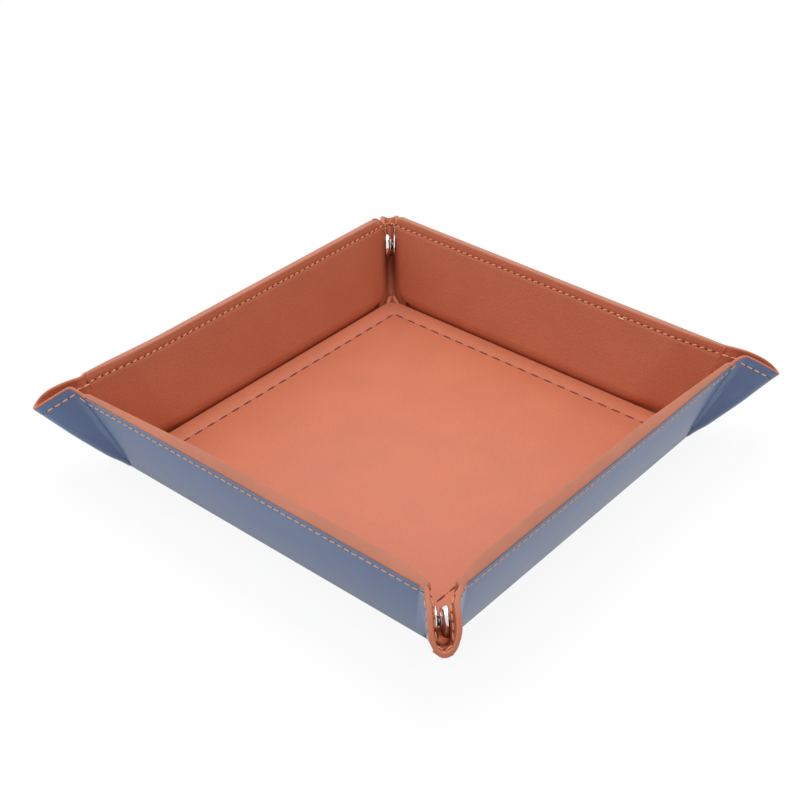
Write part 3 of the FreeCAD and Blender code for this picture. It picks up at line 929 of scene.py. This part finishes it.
def make_ear_bend(quarter, hand, layer, low, high, inset):
    """One sheet of half the bend, from the diagonal plane up to the flat leg."""
    _, flap = flap_name(quarter, hand)
    form = ear_form(quarter, hand)

    def place(u, v, w):
        risen = 1 - (1 - v) ** 2
        pattern = EAR_ARC * u
        travel = BEND_START + (rim_travel(pattern) - inset - BEND_START) * risen
        depth = sheet_depth(layer, (1 - risen) * BEND_LENGTH, low, high, form, w)
        return bend_point(travel, pattern, depth, form)

    bm = slab_grid(*BEND_GRID, place)
    turn = ear_matrix(quarter, hand)
    bend = make_piece(bm, f"{flap}_{layer}_bend", *SHEET_FINISHES[layer], matrix=turn)
    flatten_with(bend, quarter, hand)


COVER_STARTS = SKIN - SKIN_COVER
SHEET_LAP = 0.05
EAR_LAYERS = (("lining", 0.0, COVER_STARTS, 0.0), ("cover", COVER_STARTS - SHEET_LAP, SKIN, RIM_INSET))
for quarter in range(4):
    for hand in (1, -1):
        for layer in EAR_LAYERS:
            make_ear_half(quarter, hand, *layer)
            make_ear_bend(quarter, hand, *layer)
print("ears:", 4, "corners, each of two halves and a bend")

# %% Lining strip inside each lower fold, which bridges the two halves when the tray is flat
STRIP_HALF = 2.4
STRIP_START = 3.0
STRIP_STOP = 6.0
STRIP_DEPTH = -0.30
STRIP_THICK = 0.28
STRIP_GRID = (8, 30)
for quarter, corner in enumerate(CORNERS):
    form = ear_form(quarter, 1)

    def place(u, v, w):
        """Place on the strip, which lies just inside the bend."""
        pattern = STRIP_HALF * (2 * u - 1)
        travel = STRIP_START + (rim_travel(pattern) - STRIP_STOP - STRIP_START) * v
        return bend_point(travel, pattern, STRIP_DEPTH + STRIP_THICK * w, form)

    bm = slab_grid(*STRIP_GRID, place)
    finishes = (lining_leather, lining_leather)
    strip = make_piece(bm, f"{corner}_ear_fold_lining", *finishes, matrix=ear_matrix(quarter, 1))
    flatten_with(strip, quarter, 1)
print("fold linings:", 4)

# %% Puckers of lining at the corners of the base
PUCKER_PLACES = ((-1.6, -0.5), (1.6, 0.5))
PUCKER_SPOT = Vector((80.4, 80.4, 4.9))
PUCKER_TIP = -0.5
PUCKER_SIZE = (2.9, 1.15, 1.0, 1.0)
for quarter, corner in enumerate(CORNERS):
    bm = bmesh.new()
    for aside, slew in PUCKER_PLACES:
        spot = Matrix.Translation(PUCKER_SPOT + ACROSS * aside)
        axes = Matrix.Rotation(pi / 4 + slew, 4, "Z") @ Matrix.Rotation(PUCKER_TIP, 4, "Y")
        shape = spot @ axes @ Matrix.Diagonal(PUCKER_SIZE)
        bmesh.ops.create_icosphere(bm, subdivisions=3, radius=1.0, matrix=shape)
    pucker = make_piece(bm, f"{corner}_base_pucker", lining_leather, matrix=quarter_turn(quarter))
    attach(pucker, "base")
print("puckers:", 4, "pairs")

# %% [markdown]
# ## Snap fasteners
# The stud and the socket are turned parts, each a half profile with the rolled rim and the domed shell of a
# pressed snap, spun once round its axis. The posts that rivet them lie hidden between the two sheets, and
# sit with them where the soft ear leans.

# %% Turned stud and socket
SNAP_RADIUS = 5.8
dome = [radians(angle) for angle in range(0, 91, 15)]
SOCKET_PROFILE = [
    (0.0, 0.0), (5.5, 0.0), (SNAP_RADIUS, 0.2), (SNAP_RADIUS, 0.5),
    *[(3.7 + 2.0 * cos(angle), 0.6 + 2.4 * sin(angle)) for angle in dome],
    (3.4, 2.9), (3.1, 2.6), (2.7, 2.0), (2.7, 0.9), (0.0, 0.9),
]
STUD_PROFILE = [
    (0.0, 0.0), (5.5, 0.0), (SNAP_RADIUS, 0.2), (SNAP_RADIUS, 0.5), (5.5, 0.75), (2.6, 0.8), (2.1, 1.0),
    (1.8, 1.4), (1.8, 1.8), (2.0, 2.3), (1.9, 2.8), (1.4, 3.3), (0.7, 3.5), (0.0, 3.5),
]


def snap_seat(form):
    """Matrix of the seat of a snap on the pattern's ear half, facing into the ear."""
    centre, onward, above = [
        settle(EAR_FRAME @ Vector((SNAP_ALONG + east, SNAP_ABOVE + north, EAR_GAP)), form, 1.0)
        for east, north in ((0, 0), (1, 0), (0, 1))
    ]
    onward = (onward - centre).normalized()
    inward = (above - centre).cross(onward).normalized()
    return own_frame(centre, onward, inward.cross(onward), inward)


def turn_snap(quarter, hand, kind, profile, finish):
    """One turned part of a snap, set at the lining of its ear half."""
    node = f"{CORNERS[quarter]}_snap_{kind}"
    bm = bmesh.new()
    verts = [bm.verts.new((radius, 0, height)) for radius, height in profile]
    edges = [bm.edges.new(pair) for pair in zip(verts, verts[1:])]
    bmesh.ops.spin(
        bm, geom=verts + edges, cent=(0, 0, 0), axis=(0, 0, 1), dvec=(0, 0, 0),
        angle=2 * pi, steps=40, use_merge=True,
    )
    seat = ear_matrix(quarter, hand) @ snap_seat(ear_form(quarter, hand))
    piece = make_piece(bm, f"{node}_turned", finish, matrix=seat)
    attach(piece, flap_name(quarter, hand)[1])
    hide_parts(node)


for quarter in range(4):
    turn_snap(quarter, 1, "stud", STUD_PROFILE, bright_nickel)
    turn_snap(quarter, -1, "socket", SOCKET_PROFILE, bright_nickel)
print("snaps turned:", 4, "studs and", 4, "sockets")

# %% Rivet posts behind the lining
POST_PROFILE = [
    (0.0, 0.0), (1.5, 0.0), (1.5, -1.2), (3.8, -1.2), (4.0, -1.35), (4.0, -1.6), (3.8, -1.7), (0.0, -1.7),
]
for quarter in range(4):
    turn_snap(quarter, 1, "stud_post", POST_PROFILE, dull_nickel)
    turn_snap(quarter, -1, "socket_post", POST_PROFILE, dull_nickel)
print("posts turned:", 8)

# %% [markdown]
# ## Stitching
# A seam runs round the whole rim, light thread with painted shade in a needle hole between stitches, and a
# square of longer, darker stitches holds the base board. Each stitch is a small rounded dash, laid by the
# length along its line.

# %% Helper that lays stitches along a line
INNER_STITCH = {"pitch": 3.4, "length": 2.2, "width": 0.75, "tilt": 0.32, "hole": 0.75}
OUTER_STITCH = {"pitch": 3.4, "length": 3.0, "width": 0.75, "tilt": 0.10, "hole": 0.40}
EAR_STITCH = {"pitch": 3.4, "length": 3.1, "width": 0.75, "tilt": 0.0, "hole": 0.37}
TACK_STITCH = {"pitch": 3.6, "length": 3.4, "width": 0.9, "tilt": 0.0, "hole": 0.33}
BASE_STITCH = {"pitch": 7.0, "length": 5.0, "width": 0.95, "tilt": 0.0, "hole": 0.3}
THREAD_FLAT = 0.8
THREAD_PROUD = 0.1
HOLE_NARROW = 0.75
HOLE_DEPTH = 0.12
LENGTHWISE = Matrix.Rotation(pi / 2, 4, "Y")


def seam_pieces(name, body, points, normals, finish, pitch, length, width, tilt, hole):
    """Thread of one seam, and a small dark ellipsoid of painted shade in each needle hole, spaced evenly
    along a line of points with surface normals. They ride on a body if one is named."""
    thread = bmesh.new()
    holes = bmesh.new()
    height = width * THREAD_FLAT
    lengths = [0.0]
    for before, after in zip(points, points[1:]):
        lengths.append(lengths[-1] + (after - before).length)
    count = max(1, int(lengths[-1] / pitch))
    step = lengths[-1] / count

    def at(distance):
        index = next(i for i in range(1, len(lengths)) if lengths[i] >= distance - 1e-6)
        share = (distance - lengths[index - 1]) / max(1e-9, lengths[index] - lengths[index - 1])
        spot = points[index - 1].lerp(points[index], share)
        normal = normals[index - 1].lerp(normals[index], share).normalized()
        along = (points[index] - points[index - 1]).normalized()
        side = normal.cross(along).normalized()
        return spot, side.cross(normal), side, normal

    for number in range(count):
        spot, along, side, normal = at((number + 0.5) * step)
        lean = along * cos(tilt) + side * sin(tilt)
        axes = (lean * length / 2, normal.cross(lean) * width / 2, normal * height / 2)
        dash = own_frame(spot + normal * height * THREAD_PROUD, *axes) @ LENGTHWISE
        bmesh.ops.create_uvsphere(thread, u_segments=6, v_segments=6, radius=1.0, matrix=dash)
        # A dark ellipsoid at each needle hole: painted shade in the hole
        spot, along, side, normal = at(number * step)
        prick = own_frame(spot, along * hole, side * hole * HOLE_NARROW, normal * HOLE_DEPTH)
        bmesh.ops.create_uvsphere(holes, u_segments=8, v_segments=4, radius=1.0, matrix=prick)
    made = make_piece(thread, f"{name}_thread", finish), make_piece(holes, f"{name}_holes", needle_hole_shade)
    for piece in made:
        if body:
            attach(piece, body)
    return made


print("stitch helper ready")

# %% Seams on the walls
SEAM_STEPS = 60
SEAM_STOP = 0.7
TACK_ENDS = (39.0, 42.6)
TACK_BELOW = 0.9
BACK = WALLS.index("back")
for quarter, wall in enumerate(WALLS):
    to_tray = wall_frame(quarter)
    for side, inset, ends, sign, stitch in (
        ("inner", RIM_SEAM, PANEL_FOOT - SEAM_STOP, 1, INNER_STITCH),
        ("outer", COVER_SEAM, COVER_FOOT, -1, OUTER_STITCH),
    ):
        line = []
        for number in range(2 * SEAM_STEPS + 1):
            share = sin(pi / 2 * (number / SEAM_STEPS - 1))
            height = rim_height(quarter, share * BASE_HALF) - inset
            along = (ends + height * SPREAD) * share
            depth = panel_depth(quarter, along, height) if side == "inner" else 0.0
            line.append(to_tray @ Vector((along, height, depth)))
        facing = [to_tray.to_3x3() @ Vector((0, 0, sign))] * len(line)
        seam_pieces(f"{wall}_wall_{side}_seam", f"{wall}_wall", line, facing, rim_thread, **stitch)

tack = []
for along in TACK_ENDS:
    height = rim_height(BACK, along) - RIM_SEAM - TACK_BELOW
    tack.append(wall_frame(BACK) @ Vector((along, height, panel_depth(BACK, along, height))))
facing = [wall_frame(BACK).to_3x3() @ Vector((0, 0, 1))] * 2
seam_pieces("back_wall_back_tack", "back_wall", tack, facing, rim_thread, **TACK_STITCH)
print("wall seams:", 2 * len(WALLS), "and a back-tack where the thread was started")

# %% Seams round the ears
SEAM_ANGLE = radians(50.0)
LEG_SEAM_END = 0.4
WALL_SEAM_START = 0.3
INNER_SEAM_END = -2.4
OUTER_EAR_SEAM = COVER_SEAM + 0.8
INSET_CHANGE = (0.0, 6.0)
INSET_STRETCH = 1.04


def ear_seam(inset, wall_inset, wall_end, depth, towards, form):
    """Points and normals of the seam on the pattern's ear half: bend part, leg part and wall part."""
    parts = {"bend": ([], []), "leg": ([], []), "wall": ([], [])}

    def note(part, make):
        spot = make(depth)
        parts[part][0].append(spot)
        parts[part][1].append((spot - make(towards)).normalized())

    for number in range(SEAM_STEPS + 1):
        angle = SEAM_ANGLE * number / SEAM_STEPS
        travel = RIM_CENTRE + (SHEET_CORNER - inset) * cos(angle)
        pattern = (SHEET_CORNER - inset) * sin(angle)
        if pattern < EAR_ARC:
            note("bend", lambda o: bend_point(travel, pattern, o, form))
            continue
        across, _ = to_crease(travel, pattern)
        if across > LEG_SEAM_END:
            drop = wall_inset + (inset - wall_inset) * smoothstep(*INSET_CHANGE, across)
            along = rim_along(across, form) - drop * INSET_STRETCH
            note("leg", lambda o: leg_point(across, along, o, form))
    for number in range(SEAM_STEPS // 2 + 1):
        across = WALL_SEAM_START + (wall_end - WALL_SEAM_START) * number / (SEAM_STEPS // 2)
        along = rim_along(across, form) - wall_inset * CREASE_STRETCH
        note("wall", lambda o: leg_point(across, along, o, form))
    return parts


for side, inset, wall_inset, wall_end, depth, towards in (
    ("inner", RIM_SEAM, RIM_SEAM, INNER_SEAM_END, 0.0, 1.0),
    ("outer", OUTER_EAR_SEAM, COVER_SEAM, EAR_START, SKIN, SKIN - 1.0),
):
    for quarter in range(4):
        for hand in (1, -1):
            parts = ear_seam(inset, wall_inset, wall_end, depth, towards, ear_form(quarter, hand))
            wall, flap = flap_name(quarter, hand)
            turn = ear_matrix(quarter, hand)
            for part, (line, facing) in parts.items():
                name = f"{flap}_{side}_{part}_seam"
                body = {"leg": flap, "wall": wall, "bend": None}[part]
                moved = [turn @ spot for spot in line]
                normals = [turn.to_3x3() @ normal for normal in facing]
                made = seam_pieces(name, body, moved, normals, rim_thread, **EAR_STITCH)
                if part == "bend":
                    for piece in made:
                        flatten_with(piece, quarter, hand)
print("ear seams laid")

# %% Square of long stitches on the base
STITCH_HEIGHT = BASE_THICK - STITCH_DIP + 0.05
corners = [
    Vector((x * STITCH_SQUARE, y * STITCH_SQUARE, STITCH_HEIGHT))
    for x, y in ((-1, -1), (1, -1), (1, 1), (-1, 1), (-1, -1))
]
for number, line in enumerate(zip(corners, corners[1:])):
    facing = [Vector((0, 0, 1))] * 2
    seam_pieces(f"base_seam_{number}", "base", line, facing, base_thread, **BASE_STITCH)
print("base square stitched")
